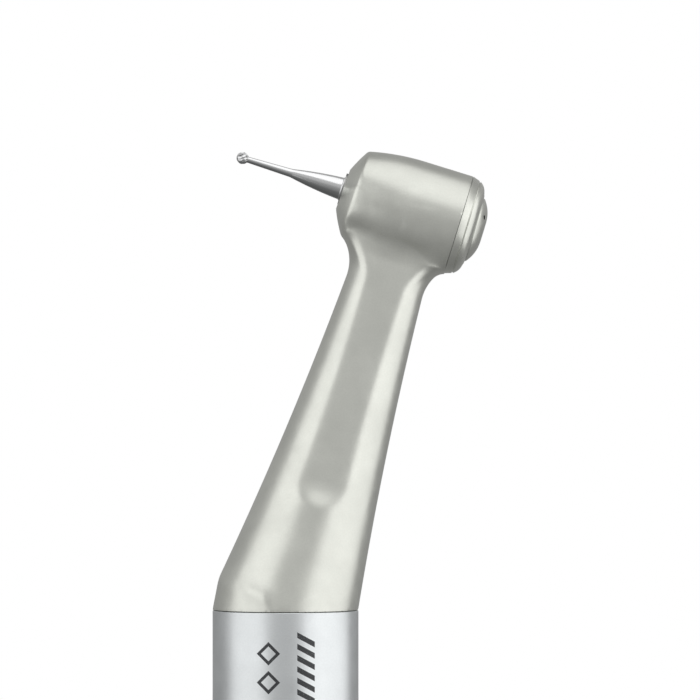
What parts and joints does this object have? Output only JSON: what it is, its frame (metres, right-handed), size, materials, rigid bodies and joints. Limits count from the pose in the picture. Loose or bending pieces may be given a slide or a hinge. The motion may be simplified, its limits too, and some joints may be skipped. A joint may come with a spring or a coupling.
{
  "type": "contra angle handpiece",
  "caption": "Slow-speed dental contra-angle: slim bent neck on a round grip sleeve, push-button head across its end holding a latch-type round bur, rear bore for a motor.",
  "frame": {"origin": "centre of the rear coupling opening, on the handle's axis", "axes": "+Z along the handle towards the head, +X the side the neck leans to, where the push-button is"},
  "size_m": [0.0291, 0.0186, 0.093],
  "materials": {
    "housing_steel": "satin, fine bead-blasted stainless steel, slightly warm",
    "sleeve_metal": "satin, fine matt anodised",
    "blue_ring": "satin blue anodised band",
    "inner_steel": "turned",
    "shaft_steel": "ground",
    "gear_steel": "hardened, cut",
    "spring_steel": "drawn wire",
    "bur_steel": "polished",
    "bearing_steel": "polished"
  },
  "bodies": {
    "handle": {"bearing_holder": "inner_steel", "bearing_holder_nut": "inner_steel", "button_spring": "spring_steel", "colour_ring": "blue_ring", "coupling_tube": "inner_steel", "grip_sleeve": "sleeve_metal", "head_cap": "housing_steel", "head_front_bearing_outer_ring": "bearing_steel", "head_neck_housing": "housing_steel", "head_rear_bearing_outer_ring": "bearing_steel", "main_front_bearing_outer_ring": "bearing_steel", "main_rear_bearing_outer_ring": "bearing_steel", "neck_bearing_nut": "inner_steel", "neck_front_bearing_outer_ring": "bearing_steel", "neck_rear_bearing_outer_ring": "bearing_steel", "neck_spacer_tube": "inner_steel", "rear_ring": "sleeve_metal"},
    "main_shaft": {"main_shaft": "shaft_steel", "main_gear": "gear_steel", "main_shaft_spacer": "inner_steel", "dog_pin": "shaft_steel", "dog_spring": "spring_steel", "main_front_bearing_inner_ring": "bearing_steel", "main_front_bearing_balls": "bearing_steel", "main_rear_bearing_inner_ring": "bearing_steel", "main_rear_bearing_balls": "bearing_steel"},
    "neck_shaft": {"neck_shaft": "shaft_steel", "neck_gear": "gear_steel", "head_pinion": "gear_steel", "neck_front_bearing_inner_ring": "bearing_steel", "neck_front_bearing_balls": "bearing_steel", "neck_rear_bearing_inner_ring": "bearing_steel", "neck_rear_bearing_balls": "bearing_steel"},
    "spindle": {"spindle": "shaft_steel", "spindle_gear": "gear_steel", "head_front_bearing_inner_ring": "bearing_steel", "head_front_bearing_balls": "bearing_steel", "head_rear_bearing_inner_ring": "bearing_steel", "head_rear_bearing_balls": "bearing_steel"},
    "drive_dog": {"drive_dog": "shaft_steel"},
    "jaw_a": {"jaw_a": "shaft_steel"},
    "jaw_b": {"jaw_b": "shaft_steel"},
    "bur": {"bur": "bur_steel"},
    "push_button": {"push_button": "housing_steel"}
  },
  "joints": [
    {"name": "main_spin", "type": "hinge", "parent": "handle", "child": "main_shaft", "pos_m": [0, 0, 0.0484], "axis": [0, 0, 1], "continuous": true},
    {"name": "neck_spin", "type": "hinge", "parent": "handle", "child": "neck_shaft", "pos_m": [0, 0, 0.0484], "axis": [0.2957, 0, 0.9553], "continuous": true},
    {"name": "spindle_spin", "type": "hinge", "parent": "handle", "child": "spindle", "pos_m": [0.01204, 0, 0.08728], "axis": [-0.9553, 0, 0.2957], "continuous": true},
    {"name": "button_press", "type": "slide", "parent": "handle", "child": "push_button", "axis": [-0.9553, 0, 0.2957], "range_m": [0, 0.00063], "deforming": ["button_spring"]},
    {"name": "jaw_a_open", "type": "slide", "parent": "spindle", "child": "jaw_a", "axis": [-0.2957, 0, -0.9553], "range_m": [0, 0.0002]},
    {"name": "jaw_b_open", "type": "slide", "parent": "spindle", "child": "jaw_b", "axis": [0.2957, 0, 0.9553], "range_m": [0, 0.0002]},
    {"name": "bur_pull", "type": "slide", "parent": "spindle", "child": "bur", "axis": [-0.9553, 0, 0.2957], "range_m": [0, 0.012]},
    {"name": "dog_slide", "type": "slide", "parent": "main_shaft", "child": "drive_dog", "axis": [0, 0, 1], "range_m": [0, 0.0015], "deforming": ["dog_spring"]}
  ],
  "couplings": [
    {"joint": "neck_spin", "follows": "main_spin", "ratio": 1},
    {"joint": "spindle_spin", "follows": "main_spin", "ratio": 1},
    {"joint": "jaw_a_open", "follows": "button_press", "ratio": 0.3175},
    {"joint": "jaw_b_open", "follows": "button_press", "ratio": 0.3175}
  ]
}
